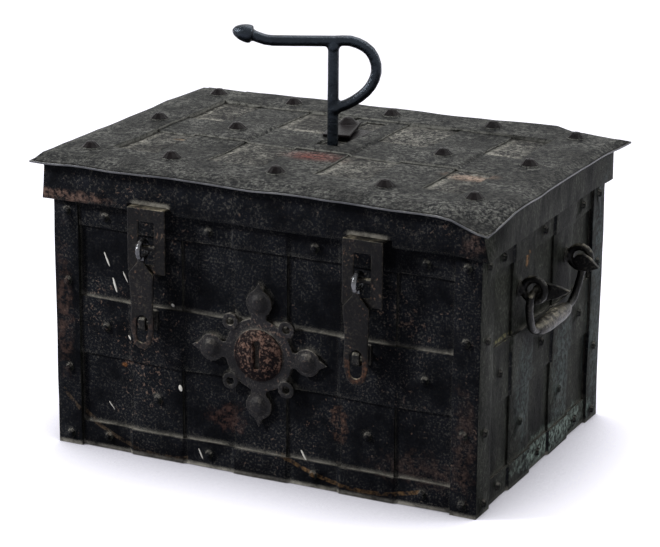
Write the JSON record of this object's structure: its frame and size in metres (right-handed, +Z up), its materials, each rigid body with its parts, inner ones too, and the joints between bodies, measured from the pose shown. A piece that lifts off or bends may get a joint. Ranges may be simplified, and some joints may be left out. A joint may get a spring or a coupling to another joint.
{
  "type": "armada chest",
  "caption": "Iron strongbox banded with riveted straps, with hasps, side handles, a false keyhole in front and a key-worked bolt lock in its hinged lid.",
  "frame": {"origin": "on the floor under the middle of the chest", "axes": "+Z up, the front looks along -Y, +X is the right side"},
  "size_m": [0.7452, 0.5136, 0.5699],
  "materials": {
    "front_iron": "forged sheet iron, blackened, with dust and small rust spots",
    "side_iron": "forged sheet iron, grey-green patina",
    "lid_iron": "forged sheet iron, dusty grey",
    "worn_iron": "wrought iron worn by hands",
    "rust_iron": "wrought iron with a brown rust skin",
    "key_steel": "smooth blue-black forged iron",
    "lock_steel": "filed iron, lightly oiled"
  },
  "bodies": {
    "chest": {"bottom_sheet": "side_iron", "front_wall": "front_iron", "right_wall": "side_iron", "back_wall": "side_iron", "left_wall": "side_iron", "front_strap_left": "front_iron", "front_strap_middle": "front_iron", "front_strap_right": "front_iron", "right_strap_front": "side_iron", "right_strap_back": "side_iron", "left_strap_front": "side_iron", "left_strap_back": "side_iron", "back_strap_left": "side_iron", "back_strap_middle": "side_iron", "back_strap_right": "side_iron", "bottom_hoop": "front_iron", "middle_hoop": "front_iron", "top_hoop": "front_iron", "corner_iron_front_left": "front_iron", "corner_iron_front_right": "front_iron", "corner_iron_back_left": "front_iron", "corner_iron_back_right": "front_iron", "hinge_pin_left": "worn_iron", "hinge_pin_right": "worn_iron", "escutcheon_plate": "front_iron", "false_keyhole_disc": "rust_iron", "handle_eye_right_front": "worn_iron", "handle_eye_right_back": "worn_iron", "handle_eye_left_front": "worn_iron", "handle_eye_left_back": "worn_iron", "body_staple_left": "front_iron", "body_staple_right": "front_iron"},
    "lid": {"lid_plate": "lid_iron", "lid_skirt": "front_iron", "lid_strap_left": "lid_iron", "lid_strap_middle": "lid_iron", "lid_strap_right": "lid_iron", "ridge_strap": "lid_iron", "lid_frame_front": "lid_iron", "lid_frame_back": "lid_iron", "lid_frame_left": "lid_iron", "lid_frame_right": "lid_iron", "hinge_leaf_left": "side_iron", "hinge_leaf_right": "side_iron", "hasp_bracket_left": "front_iron", "hasp_bracket_right": "front_iron", "lock_plate": "lock_steel"},
    "cover": {"keyhole_cover": "worn_iron"},
    "key": {"key": "key_steel"},
    "slide": {"drive_slide": "lock_steel"},
    "bolt_front_left": {"front_bolt_left": "lock_steel"},
    "bolt_front_right": {"front_bolt_right": "lock_steel"},
    "bolt_back_left": {"back_bolt_left": "lock_steel"},
    "bolt_back_right": {"back_bolt_right": "lock_steel"},
    "bolt_right": {"right_bolt": "lock_steel"},
    "rocker": {"rocker": "lock_steel"},
    "hasp_left": {"hasp_left": "rust_iron"},
    "hasp_right": {"hasp_right": "rust_iron"},
    "handle_left": {"handle_left": "worn_iron"},
    "handle_right": {"handle_right": "worn_iron"}
  },
  "joints": [
    {"name": "lid_hinge", "type": "hinge", "parent": "chest", "child": "lid", "pos_m": [0, 0.25, 0.342], "axis": [-1, 0, 0], "range_deg": [0, 100]},
    {"name": "cover_slide", "type": "slide", "parent": "lid", "child": "cover", "axis": [0, 1, 0], "range_m": [-0.015, 0.045]},
    {"name": "key_turn", "type": "hinge", "parent": "lid", "child": "key", "pos_m": [-0.005, 0.003, 0.4], "axis": [0, 0, -1], "range_deg": [0, 90]},
    {"name": "slide_travel", "type": "slide", "parent": "lid", "child": "slide", "axis": [-1, 0, 0], "range_m": [0, 0.024]},
    {"name": "front_left_throw", "type": "slide", "parent": "lid", "child": "bolt_front_left", "axis": [0, -1, 0], "range_m": [0, 0.024]},
    {"name": "front_right_throw", "type": "slide", "parent": "lid", "child": "bolt_front_right", "axis": [0, -1, 0], "range_m": [0, 0.024]},
    {"name": "back_left_throw", "type": "slide", "parent": "lid", "child": "bolt_back_left", "axis": [0, 1, 0], "range_m": [0, 0.024]},
    {"name": "back_right_throw", "type": "slide", "parent": "lid", "child": "bolt_back_right", "axis": [0, 1, 0], "range_m": [0, 0.024]},
    {"name": "right_throw", "type": "slide", "parent": "lid", "child": "bolt_right", "axis": [1, 0, 0], "range_m": [0, 0.024]},
    {"name": "rocker_turn", "type": "hinge", "parent": "lid", "child": "rocker", "pos_m": [0.215, 0.0087, 0.387], "axis": [0, 0, -1], "range_deg": [0, 47.2]},
    {"name": "hasp_left_swing", "type": "hinge", "parent": "lid", "child": "hasp_left", "pos_m": [-0.162, -0.241, 0.303], "axis": [-1, 0, 0], "range_deg": [0, 120]},
    {"name": "hasp_right_swing", "type": "hinge", "parent": "lid", "child": "hasp_right", "pos_m": [0.15, -0.241, 0.303], "axis": [-1, 0, 0], "range_deg": [0, 120]},
    {"name": "handle_right_swing", "type": "hinge", "parent": "chest", "child": "handle_right", "pos_m": [0.3266, 0, 0.268], "axis": [0, -1, 0], "range_deg": [0, 100]},
    {"name": "handle_left_swing", "type": "hinge", "parent": "chest", "child": "handle_left", "pos_m": [-0.3266, 0, 0.268], "axis": [0, 1, 0], "range_deg": [0, 100]}
  ],
  "couplings": [
    {"joint": "slide_travel", "follows": "key_turn", "m_per_rad": 0.015278},
    {"joint": "front_left_throw", "follows": "key_turn", "m_per_rad": 0.015278},
    {"joint": "front_right_throw", "follows": "key_turn", "m_per_rad": 0.015278},
    {"joint": "back_left_throw", "follows": "key_turn", "m_per_rad": 0.015278},
    {"joint": "back_right_throw", "follows": "key_turn", "m_per_rad": 0.015278},
    {"joint": "right_throw", "follows": "key_turn", "m_per_rad": 0.015278},
    {"joint": "rocker_turn", "follows": "key_turn", "ratio": 0.52396}
  ]
}
